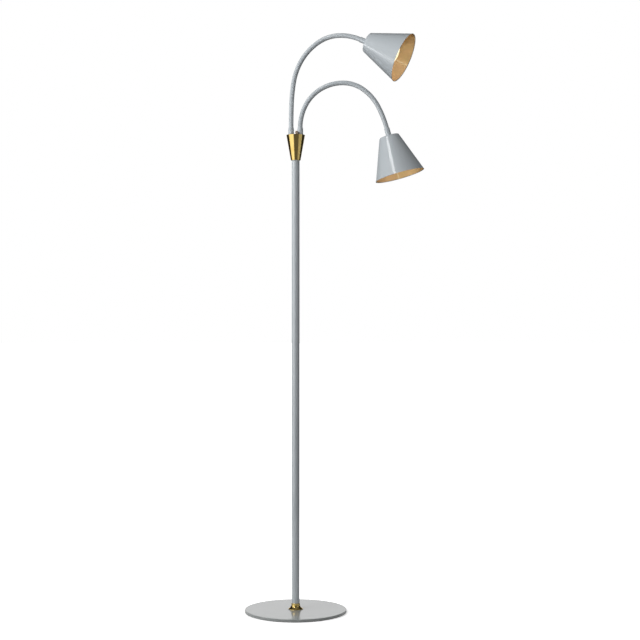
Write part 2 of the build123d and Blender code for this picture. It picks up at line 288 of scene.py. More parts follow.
class Wire:
    """A shader socket that takes part in Python sums."""

    def __init__(self, recipe, socket):
        self.recipe, self.socket = recipe, socket

    def maths(self, operation, *terms):
        """A Math node on numbers or wires."""
        return self.recipe.add("ShaderNodeMath", {"operation": operation}, *terms)

    def __add__(self, other):
        return self.maths("ADD", self, other)

    def __sub__(self, other):
        return self.maths("SUBTRACT", self, other)

    def __rsub__(self, other):
        return self.maths("SUBTRACT", other, self)

    def __mul__(self, other):
        return self.maths("MULTIPLY", self, other)

    __radd__ = __add__
    __rmul__ = __mul__

    def __abs__(self):
        return self.maths("ABSOLUTE", self)

    def __or__(self, other):
        """The greater of two masks."""
        return self.maths("MAXIMUM", self, other)

    def above(self, low, high):
        """0 below low, 1 above high, and smooth between them."""
        settings = {"interpolation_type": "SMOOTHSTEP", "clamp": True}
        return self.recipe.add("ShaderNodeMapRange", settings, self, low, high, 0.0, 1.0)


class Recipe:
    """The node tree of one material or world."""

    def __init__(self, owner, output):
        owner.use_nodes = True
        self.owner, self.tree = owner, owner.node_tree
        self.tree.nodes.clear()
        self.output = self.tree.nodes.new(output)

    def add(self, kind, settings=None, *values, out=0, **named):
        """A node of any kind: its settings first, then the values or links of its sockets."""
        node = self.tree.nodes.new(kind)
        for key, value in (settings or {}).items():
            setattr(node, key, value)
        for socket, value in zip([socket for socket in node.inputs if socket.enabled], values):
            self.feed(socket, value)
        for key, value in named.items():
            self.feed(node.inputs[key.replace("_", " ")], value)
        outputs = [socket for socket in node.outputs if socket.enabled]
        return Wire(self, outputs[out] if isinstance(out, int) else node.outputs[out])

    def feed(self, socket, value):
        """Links a wire to a socket, or sets the socket's own value."""
        if isinstance(value, Wire):
            self.tree.links.new(value.socket, socket)
        elif socket.type == "RGBA":
            socket.default_value = (*value[:3], 1.0)
        else:
            socket.default_value = value

    def mix(self, amount, first, second):
        """One colour turning into another."""
        return self.add("ShaderNodeMix", {"data_type": "RGBA"}, amount, first, second)

    def noise(self, place, scale=1.0, detail=2.0, roughness=0.5):
        """Soft noise from 0 to 1, with so many lumps to the metre."""
        lumps = {"Vector": place, "Scale": scale, "Detail": detail, "Roughness": roughness}
        return self.add("ShaderNodeTexNoise", **lumps)

    def stretched(self, place, x, y, z):
        """A place with each axis at its own scale."""
        return self.add("ShaderNodeVectorMath", {"operation": "MULTIPLY"}, place, (x, y, z))

    def bump(self, relief, strength, height):
        """The normal of a surface with a fine relief of some height."""
        return self.add("ShaderNodeBump", Strength=strength, Distance=height, Height=relief)

    def surface(self, **values):
        """Ends a material in the standard surface shader and gives the material."""
        shader = self.add("ShaderNodeBsdfPrincipled", **values)
        self.feed(self.output.inputs["Surface"], shader)
        return self.owner


def material(name):
    """An empty material of that name and its recipe's place in object coordinates."""
    recipe = Recipe(bpy.data.materials.new(name), "ShaderNodeOutputMaterial")
    return recipe, recipe.add("ShaderNodeTexCoord", out="Object")


def tinted(base, amount):
    """A colour made lighter or darker."""
    return [min(1.0, channel * (1 + amount)) for channel in base]


# ---------------------------------------------------------------- finishes


def lacquer(name, base, roughness, coat, peel):
    """Sprayed lacquer: faint clouds in the colour, and the orange peel that spraying leaves."""
    cloud_depth = 0.035
    unevenness = 0.06
    recipe, place = material(name)
    clouds = recipe.noise(place, scale=9.0, detail=3.0)
    specks = recipe.noise(place, scale=260.0)
    tone = recipe.mix(clouds * 0.7 + specks * 0.3, tinted(base, -cloud_depth), tinted(base, cloud_depth))
    relief = recipe.noise(place, scale=420.0) * 0.8 + recipe.noise(place, scale=95.0, detail=1.0) * 0.2
    return recipe.surface(
        Base_Color=tone,
        Roughness=clouds * unevenness + (roughness - unevenness / 2),
        Coat_Weight=coat,
        Coat_Roughness=0.10,
        Coat_IOR=1.7,
        Normal=recipe.bump(relief, strength=peel, height=0.4 * MM),
    )


def turned_brass(name, bright, dull):
    """Lathe-turned brass, polished and lacquered: fine rings, faint tarnish and a few finger marks."""
    polish = 0.13
    recipe, place = material(name)
    tarnish = recipe.noise(place, scale=38.0, detail=4.0, roughness=0.6).above(0.42, 0.75)
    rings = recipe.noise(recipe.stretched(place, 30.0, 30.0, 5200.0))
    marks = recipe.noise(recipe.stretched(place, 60.0, 60.0, 150.0), detail=3.0).above(0.55, 0.8)
    return recipe.surface(
        Base_Color=recipe.mix(tarnish * 0.55, bright, dull),
        Metallic=1.0,
        Roughness=rings * 0.06 + marks * 0.06 + polish,
        Normal=recipe.bump(rings, strength=0.05, height=0.05 * MM),
    )


def gold_lining(name, arm, finishes, heads):
    """Gold-coloured rolled sheet: satin, mottled and drawn along the cone; one side of the seam is warmed by
    a painted reflection, and the folded seam is paler as a painted highlight.
    """
    satin = 0.30
    # Where the painted reflection beside the seam fades out.
    painted_reflection_from, painted_reflection_to = 4 * MM, -12 * MM
    recipe, place = material(name)
    head = head_frame(arm)
    own = recipe.add(
        "ShaderNodeMapping",
        {"vector_type": "TEXTURE"},
        Vector=place,
        Location=head.to_translation(),
        Rotation=(head @ Matrix.Rotation(heads.seam_angle, 4, "Z")).to_euler(),
    )
    along, across = (recipe.add("ShaderNodeSeparateXYZ", {}, own, out=axis) for axis in "XY")
    mottle = recipe.noise(own, scale=55.0, detail=4.0, roughness=0.65)
    drawn = recipe.noise(recipe.stretched(own, 420.0, 420.0, 30.0))
    # Random mottle, plus a painted reflection that warms one side of the seam.
    mottle_and_painted_reflection = mottle.above(0.3, 0.7) * 0.5 + (1 - across.above(painted_reflection_to, painted_reflection_from)) * 0.5
    tone = recipe.mix(mottle_and_painted_reflection, finishes.gold, finishes.gold_warm)
    tone = recipe.mix(drawn * 0.35, tone, tinted(finishes.gold, -0.25))
    width = heads.seam_width
    # The fold's paler band is a painted highlight along the seam.
    fold = (1 - abs(across).above(0.4 * width, 0.7 * width)) * along.above(0, 10 * MM)
    return recipe.surface(
        Base_Color=recipe.mix(fold * 0.7, tone, finishes.seam),
        Metallic=0.25,
        Roughness=mottle * 0.18 + satin,
        Normal=recipe.bump(drawn + mottle, strength=0.12, height=0.15 * MM),
    )


def lit_lens(name, glass, glow, strength):
    """Frosted glass with the light on behind it."""
    recipe, place = material(name)
    frost = recipe.noise(place, scale=700.0)
    return recipe.surface(
        Base_Color=glass,
        Roughness=frost * 0.1 + 0.3,
        Emission_Color=recipe.mix(frost * 0.4, glow, tinted(glow, -0.12)),
        Emission_Strength=strength,
    )


def plated_steel(name, bright, dark):
    """Zinc-plated steel with a faint grain."""
    recipe, place = material(name)
    grain = recipe.noise(place, scale=900.0, detail=3.0)
    return recipe.surface(
        Base_Color=recipe.mix(grain, dark, bright),
        Metallic=1.0,
        Roughness=grain * 0.15 + 0.28,
    )


def plastic(name, base, roughness):
    """Moulded plastic: a fine spark-eroded grain."""
    shift = 0.06
    recipe, place = material(name)
    grain = recipe.noise(place, scale=1300.0, detail=3.0)
    tone = recipe.noise(place, scale=60.0)
    return recipe.surface(
        Base_Color=recipe.mix(tone, tinted(base, -shift), tinted(base, shift)),
        Roughness=grain * 0.1 + roughness,
        Normal=recipe.bump(grain, strength=0.15, height=0.1 * MM),
    )


def foam(name, skin, pore_shade):
    """Dense black foam of the pad and the rubber of the grommet, with painted shade darkening the pores."""
    recipe, place = material(name)
    cells = recipe.add("ShaderNodeTexVoronoi", Vector=place, Scale=900.0, out="Distance")
    return recipe.surface(
        # The pores are painted darker: painted shade in their depth.
        Base_Color=recipe.mix(cells, pore_shade, skin),
        Roughness=0.9,
        Normal=recipe.bump(cells, strength=0.4, height=0.2 * MM),
    )


# ---------------------------------------------------------------- modelling


def turned(profile, around, closed=True):
    """A shape turned about Z from (radius, height) corners. An open profile starts and ends on the axis."""
    bm = bmesh.new()
    verts = [bm.verts.new((radius, 0, height)) for radius, height in profile]
    followers = verts[1:] + (verts[:1] if closed else [])
    edges = [bm.edges.new(pair) for pair in zip(verts, followers)]
    bmesh.ops.spin(
        bm,
        geom=verts + edges,
        cent=(0, 0, 0),
        axis=(0, 0, 1),
        dvec=(0, 0, 0),
        angle=tau,
        steps=around,
        use_merge=True,
    )
    bmesh.ops.remove_doubles(bm, verts=bm.verts[:], dist=SAME_PLACE)
    bmesh.ops.recalc_face_normals(bm, faces=bm.faces[:])
    return bm


def soften(bm, corner, offset, segments=3):
    """Rounds the ring edge at one (radius, height) corner of a turned shape."""

    def on_corner(vert):
        off_radius = hypot(vert.co.x, vert.co.y) - corner[0]
        off_height = vert.co.z - corner[1]
        return max(abs(off_radius), abs(off_height)) < SAME_PLACE

    ring = [edge for edge in bm.edges if all(on_corner(vert) for vert in edge.verts)]
    bmesh.ops.bevel(
        bm,
        geom=ring,
        offset=offset,
        affect="EDGES",
        segments=segments,
        profile=0.5,
        material=-1,
        clamp_overlap=True,
    )


def shown(name, bm, skin, sharp=radians(32)):
    """Makes a shown object of a finished bmesh, with smooth faces and crisp edges."""
    for face in bm.faces:
        face.smooth = True
    for edge in bm.edges:
        edge.smooth = edge.calc_face_angle(0) < sharp
    mesh = bpy.data.meshes.new(name)
    bm.to_mesh(mesh)
    bm.free()
    mesh.materials.append(skin)
    obj = bpy.data.objects.new(name, mesh)
    bpy.context.scene.collection.objects.link(obj)
    even_normals(obj)
    return obj


def even_normals(obj):
    """Lets large faces lead the shading, so that flat parts look flat beside a rounded edge."""
    obj.modifiers.new("Even normals", "WEIGHTED_NORMAL").keep_sharp = True


def fixed(name, bm, skin, slot, body, *nodes):
    """A rigid piece on one body, in place of the nodes named."""
    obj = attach(shown(name, bm, skin), body)
    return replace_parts(obj, *nodes)


def moved(bm, matrix):
    """The same bmesh, put in its place."""
    bmesh.ops.transform(bm, matrix=matrix, verts=bm.verts[:])
    return bm


def carve(obj, *cutters):
    """Cuts some meshes out of another for good."""
    obj.modifiers.clear()
    for cutter in cutters:
        cut = obj.modifiers.new("Cut", "BOOLEAN")
        cut.object, cut.operation, cut.solver = cutter, "DIFFERENCE", "EXACT"
        bpy.context.view_layer.update()
        made = bpy.data.meshes.new_from_object(obj.evaluated_get(bpy.context.evaluated_depsgraph_get()))
        obj.modifiers.remove(cut)
        made.name, obj.data = obj.data.name, made
        bpy.data.objects.remove(cutter)
    even_normals(obj)


def repaint(skin, slot, *nodes):
    """Gives nodes of the model that stay as they are a finish."""
    for node in nodes:
        obj = frame["nodes"][node]
        obj.data.materials.clear()
        obj.data.materials.append(skin)


def skin_named(name):
    """A finish that was mixed before."""
    return bpy.data.materials[name]


# ---------------------------------------------------------------- places that follow from the model


def head_frame(arm):
    """Where an arm's neck ends, with +Z along the shade's axis towards its mouth."""
    arms, heads = bpy.context.scene.lamp_arms, bpy.context.scene.lamp_heads
    heading = getattr(arms, f"{arm}_heading")
    nod = sum(getattr(arms, f"{arm}_bends"))
    turn = Matrix.Rotation(heading, 4, "Z") @ Matrix.Rotation(nod, 4, "Y")
    low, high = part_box(f"{arm}_lamp_holder")
    middle = heads.holder_start + heads.holder_length / 2
    start = (low + high) / 2 - turn @ Vector((0, 0, middle))
    return Matrix.Translation(start) @ turn


def arm_joints(arm):
    """The joints between the sections of one neck, from its foot to its end."""
    return [joint for joint in frame["joints"] if joint["name"].startswith(f"{arm}_bend")]


def neck_frames(arm):
    """Frames along the middle of a neck, with +Z along it: one in its ferrule, then one for each step."""
    arms = bpy.context.scene.lamp_arms
    heading = getattr(arms, f"{arm}_heading")
    bends = getattr(arms, f"{arm}_bends")
    swing = next(joint for joint in frame["joints"] if joint["name"] == f"{arm}_swing")
    foot = Vector((swing["pos_m"][0], 0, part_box("foot_ferrules")[1].z))
    knots = [foot, *(Vector(joint["pos_m"]) for joint in arm_joints(arm)), head_frame(arm).to_translation()]

    def facing(tilt):
        return Matrix.Rotation(heading, 4, "Z") @ Matrix.Rotation(tilt, 4, "Y")

    tilt = 0.0
    below = foot - Vector((0, 0, arms.neck_foot))
    frames = [Matrix.Translation(point) @ facing(tilt) for point in (below, foot)]
    for start, end, bend in zip(knots, knots[1:], bends):
        handle = (end - start).length / 3 / cos(bend / 4) ** 2
        ahead = facing(tilt) @ Vector((0, 0, handle))
        behind = facing(tilt + bend) @ Vector((0, 0, handle))
        points = interpolate_bezier(start, start + ahead, end - behind, end, arms.steps + 1)
        for step, point in enumerate(points[1:], 1):
            frames.append(Matrix.Translation(point) @ facing(tilt + bend * step / arms.steps))
        tilt += bend
    return frames


# ---------------------------------------------------------------- operators: stand


class LAMP_OT_finishes(bpy.types.Operator):
    """Mix every finish of the lamp."""

    bl_idname = "lamp.finishes"
    bl_label = "Finishes"

    def execute(self, context):
        finishes, heads = context.scene.lamp_finishes, context.scene.lamp_heads
        lacquer("grey_lacquer", finishes.paint, roughness=0.36, coat=0.7, peel=0.006)
        lacquer("base_lacquer", finishes.base_paint, roughness=0.22, coat=0.6, peel=0.03)
        turned_brass("polished_brass", finishes.brass, finishes.brass_shade)
        turned_brass("button_brass", finishes.button, tinted(finishes.button, -0.15))
        for arm in ARMS:
            gold_lining(f"{arm}_gold", arm, finishes, heads)
        lit_lens("lit_lens", finishes.lens_frost, finishes.glow, finishes.glow_strength)
        plated_steel("plated_steel", finishes.zinc, finishes.zinc_dark)
        plastic("ivory_plastic", finishes.ivory, roughness=0.42)
        plastic("white_plastic", finishes.bulb_white, roughness=0.35)
        plastic("black_plastic", finishes.switch_black, roughness=0.45)
        foam("black_foam", finishes.foam_black, finishes.foam_cell)
        return {"FINISHED"}


class LAMP_OT_base(bpy.types.Operator):
    """Turn the base disc, with its rounded edge and the cord's channel underneath."""

    bl_idname = "lamp.base"
    bl_label = "Base"

    def execute(self, context):
        stand = context.scene.lamp_stand
        low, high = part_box("base_plate")
        radius = high.x
        profile = [(0, low.z), (radius, low.z), (radius, high.z), (0, high.z)]
        bm = turned(profile, AROUND_BASE, closed=False)
        soften(bm, (radius, high.z), stand.base_round, segments=6)
        soften(bm, (radius, low.z), stand.base_under_round, segments=2)
        disc = fixed("base_disc", bm, skin_named("base_lacquer"), "base_paint", "root", "base_plate")
        near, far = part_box("cord_grommet")
        size = Matrix.Diagonal((far.x - near.x, 2 * (radius - near.y), 2 * (far.z - near.z), 1))
        cutter = bmesh.new()
        bmesh.ops.create_cube(cutter, size=1, matrix=Matrix.Translation((0, radius, near.z)) @ size)
        carve(disc, shown("channel_cutter", cutter, skin_named("base_lacquer")))
        repaint(skin_named("black_foam"), "pad_foam", "base_pad", "cord_grommet")
        return {"FINISHED"}


class LAMP_OT_pole(bpy.types.Operator):
    """Turn the pole and the brass trim over its foot."""

    bl_idname = "lamp.pole"
    bl_label = "Pole"

    def execute(self, context):
        stand = context.scene.lamp_stand
        low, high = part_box("pole_tube")
        outside, inside = high.x, high.x - stand.pole_wall
        bm = turned([(outside, low.z), (outside, high.z), (inside, high.z), (inside, low.z)], AROUND_TUBE)
        fixed("pole", bm, skin_named("grey_lacquer"), "grey_paint", "root", "pole_tube")

        low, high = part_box("foot_cone")
        lip, top, bore = high.x, stand.trim_top / 2, stand.trim_bore / 2
        foot, tip = low.z + stand.trim_lip, high.z
        rises = [ring / stand.trim_rings for ring in range(stand.trim_rings + 1)]
        flare = [(top + (lip - top) * (1 - t) ** stand.trim_flare, foot + (tip - foot) * t) for t in rises]
        bm = turned([(bore, low.z), (lip, low.z), *flare, (bore, tip)], AROUND_TRIM)
        soften(bm, (lip, low.z), stand.crisp / 2, segments=2)
        soften(bm, (lip, foot), stand.crisp, segments=3)
        soften(bm, (top, tip), stand.crisp, segments=3)
        fixed("foot_trim", bm, skin_named("polished_brass"), "brass", "root", "foot_cone")
        return {"FINISHED"}


class LAMP_OT_collar(bpy.types.Operator):
    """Turn the brass collar and the sleeves that hold the necks, and finish what the collar holds."""

    bl_idname = "lamp.collar"
    bl_label = "Collar"

    def execute(self, context):
        stand = context.scene.lamp_stand
        low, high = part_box("collar_shell")
        foot, mouth = stand.collar_foot / 2, high.x
        flare = (mouth - foot) / (high.z - low.z)
        floor = low.z + stand.collar_floor
        inner_floor = foot + flare * stand.collar_floor - stand.collar_wall
        bm = turned(
            [
                (stand.collar_hole / 2, low.z),
                (foot, low.z),
                (mouth, high.z),
                (mouth - stand.collar_wall, high.z),
                (inner_floor, floor),
                (stand.collar_hole / 2, floor),
            ],
            AROUND_COLLAR,
        )
        soften(bm, (foot, low.z), stand.crisp)
        soften(bm, (mouth, high.z), stand.crisp)
        soften(bm, (mouth - stand.collar_wall, high.z), stand.crisp)
        fixed("collar", bm, skin_named("polished_brass"), "brass", "root", "collar_shell")

        low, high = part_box("foot_ferrules")
        wide, tip = stand.ferrule_foot / 2, stand.ferrule_tip / 2
        bore, hole = stand.ferrule_bore / 2, stand.collar_hole / 2
        shoulder, seat = high.z - stand.ferrule_taper, high.z - stand.ferrule_seat
        for arm, x in zip(ARMS, (low.x + wide, high.x - wide)):
            outside = [(wide, low.z), (wide, shoulder), (tip, high.z)]
            inside = [(bore, high.z), (bore, seat), (hole, seat)]
            bm = turned([(hole, low.z), *outside, *inside], AROUND_SLEEVE)
            soften(bm, (wide, low.z), stand.crisp)
            soften(bm, (wide, shoulder), 2 * stand.crisp)
            soften(bm, (tip, high.z), stand.crisp)
            moved(bm, Matrix.Translation((x, 0, 0)))
            skin = skin_named("grey_lacquer")
            fixed(f"{arm}_foot_ferrule", bm, skin, "grey_paint", "root", "foot_ferrules")

        repaint(skin_named("polished_brass"), "brass", "collar_plate", "switch_nut")
        repaint(skin_named("ivory_plastic"), "holder_plastic", "wire_connector")
        repaint(skin_named("black_plastic"), "switch_plastic", "switch_body")
        steel = ("pole_inserts", "lock_nuts", "lock_washers", "threaded_nipples")
        repaint(skin_named("plated_steel"), "steel", *steel)
        return {"FINISHED"}


class LAMP_OT_button(bpy.types.Operator):
    """Turn the switch's push button, with a soft crown."""

    bl_idname = "lamp.button"
    bl_label = "Button"

    def execute(self, context):
        stand = context.scene.lamp_stand
        low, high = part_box("switch_button")
        middle, radius = (low + high) / 2, (high.x - low.x) / 2
        profile = [(0, low.z), (radius, low.z), (radius, high.z), (0, high.z)]
        bm = turned(profile, AROUND_BUTTON, closed=False)
        soften(bm, (radius, high.z), radius * stand.button_crown, segments=6)
        moved(bm, Matrix.Translation((middle.x, middle.y, 0)))
        fixed("push_button", bm, skin_named("button_brass"), "button_brass", "button", "switch_button")
        return {"FINISHED"}


# ---------------------------------------------------------------- operators: arms


class LAMP_OT_necks(bpy.types.Operator):
    """Draw both flexible necks in pieces that meet halfway between joints, each across one joint; the end
    pieces ride on the first and last bodies, and the pieces between stay where they are drawn.
    """

    bl_idname = "lamp.necks"
    bl_label = "Necks"

    def execute(self, context):
        for arm in ARMS:
            self.neck(context.scene.lamp_arms, arm)
        return {"FINISHED"}

    def neck(self, arms, arm):
        frames = neck_frames(arm)
        joints = arm_joints(arm)
        bodies = [joints[0]["parent"], *(joint["child"] for joint in joints)]
        cuts = [1 + arms.steps // 2 + arms.steps * section for section in range(SECTIONS)]
        ends = [0, *cuts, len(frames) - 1]
        for number, (first, last) in enumerate(zip(ends, ends[1:])):
            bm = self.hose(arms, frames[first : last + 1])
            obj = shown(f"{arm}_neck_{number + 1}_hose", bm, skin_named("grey_lacquer"))
            nodes = [f"{arm}_neck_{n}" for n in (number, number + 1) if 1 <= n <= SECTIONS]
            if number in (0, SECTIONS):
                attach(obj, bodies[0] if number == 0 else bodies[-1])
            else:
                bodies[number - 1]
                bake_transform(obj)
            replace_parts(obj, *nodes)

    def hose(self, arms, frames):
        """A round hose along some frames, closed at both ends."""
        bm = bmesh.new()
        radius = arms.neck_diameter / 2
        bmesh.ops.create_circle(bm, cap_ends=True, radius=radius, segments=arms.sides, matrix=frames[0])
        front = bm.faces[:]
        for before, after in zip(frames, frames[1:]):
            grown = bmesh.ops.extrude_face_region(bm, geom=front)["geom"]
            front = [part for part in grown if isinstance(part, bmesh.types.BMFace)]
            ring = [part for part in grown if isinstance(part, bmesh.types.BMVert)]
            bmesh.ops.transform(bm, matrix=after @ before.inverted(), verts=ring)
        bmesh.ops.recalc_face_normals(bm, faces=bm.faces[:])
        return bm


# ---------------------------------------------------------------- operators: heads


class LAMP_OT_end_ferrules(bpy.types.Operator):
    """Turn the sleeve between each neck and its shade, with the tube that holds the shade."""

    bl_idname = "lamp.end_ferrules"
    bl_label = "End ferrules"

    def execute(self, context):
        heads, crisp = context.scene.lamp_heads, context.scene.lamp_stand.crisp
        wide, thin = heads.ferrule_diameter / 2, heads.spigot / 2
        sleeve = [(0, 0), (wide, 0), (wide, heads.cap_plane)]
        spigot = [(thin, heads.cap_plane), (thin, heads.spigot_end), (0, heads.spigot_end)]
        for arm in ARMS:
            bm = turned(sleeve + spigot, AROUND_SLEEVE, closed=False)
            soften(bm, (wide, 0), 2 * crisp)
            soften(bm, (wide, heads.cap_plane), crisp / 2)
            soften(bm, (thin, heads.spigot_end), crisp)
            moved(bm, head_frame(arm))
            node = f"{arm}_end_ferrule"
            fixed(f"{arm}_sleeve", bm, skin_named("grey_lacquer"), "grey_paint", f"{arm}_head", node)
        return {"FINISHED"}


def sheet_line(heads, inset, setback):
    """Half section of the shade's cone at an inset from its outside: hub, shoulder, rim."""
    flare = (heads.mouth_diameter - heads.cap_diameter) / 2 / heads.shade_length
    slant = hypot(1, flare)
    cap = heads.cap_plane + inset
    rim = heads.cap_plane + heads.shade_length - setback

    def side(height):
        return heads.cap_diameter / 2 - inset * slant + flare * (height - heads.cap_plane)

    return [(heads.hole / 2, cap), (side(cap), cap), (side(rim), rim)]


class LAMP_OT_shades(bpy.types.Operator):
    """Turn both shades: thin cones with a flat cap, a round shoulder and a fine rim."""

    bl_idname = "lamp.shades"
    bl_label = "Shades"

    def execute(self, context):
        heads = context.scene.lamp_heads
        outside = sheet_line(heads, 0, 0)
        inside = sheet_line(heads, heads.shade_wall, 0)
        for arm in ARMS:
            bm = turned(outside + inside[::-1], AROUND_SHADE)
            soften(bm, outside[1], heads.shoulder, segments=6)
            soften(bm, inside[1], heads.shoulder - heads.shade_wall, segments=4)
            soften(bm, outside[2], heads.rim_round, segments=2)
            soften(bm, inside[2], heads.rim_round, segments=2)
            moved(bm, head_frame(arm))
            fixed(f"{arm}_cone", bm, skin_named("grey_lacquer"), "grey_paint", f"{arm}_head", f"{arm}_shade")
        return {"FINISHED"}


class LAMP_OT_liners(bpy.types.Operator):
    """Turn the gold linings and lay the folded seam along each."""

    bl_idname = "lamp.liners"
    bl_label = "Linings"

    def execute(self, context):
        heads = context.scene.lamp_heads
        gap = heads.shade_wall + heads.liner_gap
        outside = sheet_line(heads, gap, heads.liner_setback)
        inside = sheet_line(heads, gap + heads.liner_wall, heads.liner_setback)
        for arm in ARMS:
            bm = turned(outside + inside[::-1], AROUND_SHADE)
            soften(bm, outside[1], heads.shoulder / 2, segments=4)
            soften(bm, inside[1], heads.shoulder / 2, segments=4)
            self.seam(bm, heads, inside[1], inside[2])
            moved(bm, head_frame(arm))
            skin = skin_named(f"{arm}_gold")
            fixed(f"{arm}_lining", bm, skin, "gold_liner", f"{arm}_head", f"{arm}_liner")
        return {"FINISHED"}

    def seam(self, bm, heads, shoulder, rim):
        """A flat fold of sheet on the lining's inside, from shoulder to rim."""
        (r0, z0), (r1, z1) = shoulder, rim
        run = hypot(r1 - r0, z1 - z0)
        lean = atan2(r1 - r0, z1 - z0)
        thick = 2 * heads.seam_height
        size = Matrix.Diagonal((thick, heads.seam_width, run - 2 * heads.shoulder, 1))
        middle = Matrix.Translation(((r0 + r1) / 2, 0, (z0 + z1) / 2))
        place = Matrix.Rotation(heads.seam_angle, 4, "Z") @ middle @ Matrix.Rotation(lean, 4, "Y") @ size
        fold = bmesh.ops.create_cube(bm, size=1, matrix=place)["verts"]
        edges = [edge for edge in bm.edges if edge.verts[0] in fold]
        bmesh.ops.bevel(
            bm,
            geom=edges,
            offset=heads.seam_height / 2,
            affect="EDGES",
            segments=2,
            profile=0.5,
            material=-1,
        )


class LAMP_OT_holders(bpy.types.Operator):
    """Turn the lamp holders, with a ribbed grip, and drill the two holes for the bulb's pins."""

    bl_idname = "lamp.holders"
    bl_label = "Lamp holders"

    def execute(self, context):
        heads, crisp = context.scene.lamp_heads, context.scene.lamp_stand.crisp
        wide, bore = heads.holder_diameter / 2, heads.spigot / 2 + heads.thread_play
        start = heads.holder_start
        end = start + heads.holder_length
        floor = start + heads.holder_bore
        outside = [(bore, start), (wide, start), *self.grip(heads), (wide, end)]
        inside = [(0, end), (0, floor), (bore, floor)]
        for arm in ARMS:
            bm = turned(outside + inside, AROUND_TUBE)
            soften(bm, (wide, start), 2 * crisp)
            soften(bm, (wide, end), 3 * crisp)
            moved(bm, head_frame(arm))
            skin = skin_named("ivory_plastic")
            holder = fixed(f"{arm}_holder", bm, skin, "holder_plastic", f"{arm}_head", f"{arm}_lamp_holder")
            carve(holder, *(self.drill(heads, head_frame(arm), side, end) for side in (-1, 1)))
            repaint(skin_named("plated_steel"), "steel", f"{arm}_bulb_pins")
        return {"FINISHED"}

    def grip(self, heads):
        """Corners of the grooves around the holder, each half a pitch wide, with plain ends beside them."""
        wide = heads.holder_diameter / 2
        deep = wide - heads.groove_depth
        plain = 1.5
        pitch = heads.holder_length / (heads.grooves + 2 * plain)
        corners = []
        for number in range(heads.grooves):
            low = heads.holder_start + pitch * (number + plain)
            corners += [(wide, low), (deep, low + pitch / 6)]
            corners += [(deep, low + pitch / 3), (wide, low + pitch / 2)]
        return corners

    def drill(self, heads, place, side, end):
        """What a drill takes out of the holder's end."""
        bm = bmesh.new()
        bmesh.ops.create_cone(
            bm,
            cap_ends=True,
            radius1=heads.pin_bore / 2,
            radius2=heads.pin_bore / 2,
            depth=2 * heads.pin_depth,
            segments=32,
            matrix=place @ Matrix.Translation((side * heads.pin_pitch / 2, 0, end)),
        )
        return shown("drill", bm, skin_named("ivory_plastic"))


class LAMP_OT_bulbs(bpy.types.Operator):
    """Turn the spot bulbs: an opaque body that widens to a rim, and the lit lens in it."""

    bl_idname = "lamp.bulbs"
    bl_label = "Bulbs"

    def execute(self, context):
        heads, crisp = context.scene.lamp_heads, context.scene.lamp_stand.crisp
        start = heads.holder_start + heads.holder_length + heads.bulb_seat
        front = start + heads.bulb_length
        for arm in ARMS:
            bm = turned(self.body(heads, start, front), AROUND_TUBE, closed=False)
            soften(bm, (heads.bulb_foot / 2, start), 2 * crisp)
            soften(bm, (heads.bulb_diameter / 2, front), 2 * crisp)
            moved(bm, head_frame(arm))
            skin = skin_named("white_plastic")
            fixed(f"{arm}_spot", bm, skin, "bulb_body", f"{arm}_head", f"{arm}_bulb_body")
            bm = moved(turned(self.lens(heads, front), AROUND_TUBE, closed=False), head_frame(arm))
            skin = skin_named("lit_lens")
            fixed(f"{arm}_lens", bm, skin, "frosted_lens", f"{arm}_head", f"{arm}_bulb_lens")
        return {"FINISHED"}

    def body(self, heads, start, front):
        """Half section of the bulb's body: foot, a side that widens in a soft S, rim and the lens's seat."""
        foot, rim = heads.bulb_foot / 2, heads.bulb_diameter / 2
        seat = heads.lens_diameter / 2 + heads.lens_play
        shoulder = front - heads.bulb_rim
        low, high = Vector((foot, 0, start + heads.bulb_rim)), Vector((rim, 0, shoulder))
        rise = Vector((0, 0, (shoulder - start) / 4))
        rings = 16
        side = [(point.x, point.z) for point in interpolate_bezier(low, low + rise, high - rise, high, rings)]
        floor = front - heads.lens_seat
        return [(0, start), (foot, start), *side, (rim, front), (seat, front), (seat, floor), (0, floor)]

    def lens(self, heads, front):
        """Half section of the lens: a disc in its seat with a domed front."""
        rings = 10
        radius, rise = heads.lens_diameter / 2, heads.lens_crown
        floor = front - heads.lens_seat
        turns = [pi / 2 * ring / rings for ring in range(rings)]
        dome = [(radius * cos(turn), front + rise * sin(turn)) for turn in turns]
        return [(0, floor), (radius, floor), *dome, (0, front + rise)]


# ---------------------------------------------------------------- operator: stage


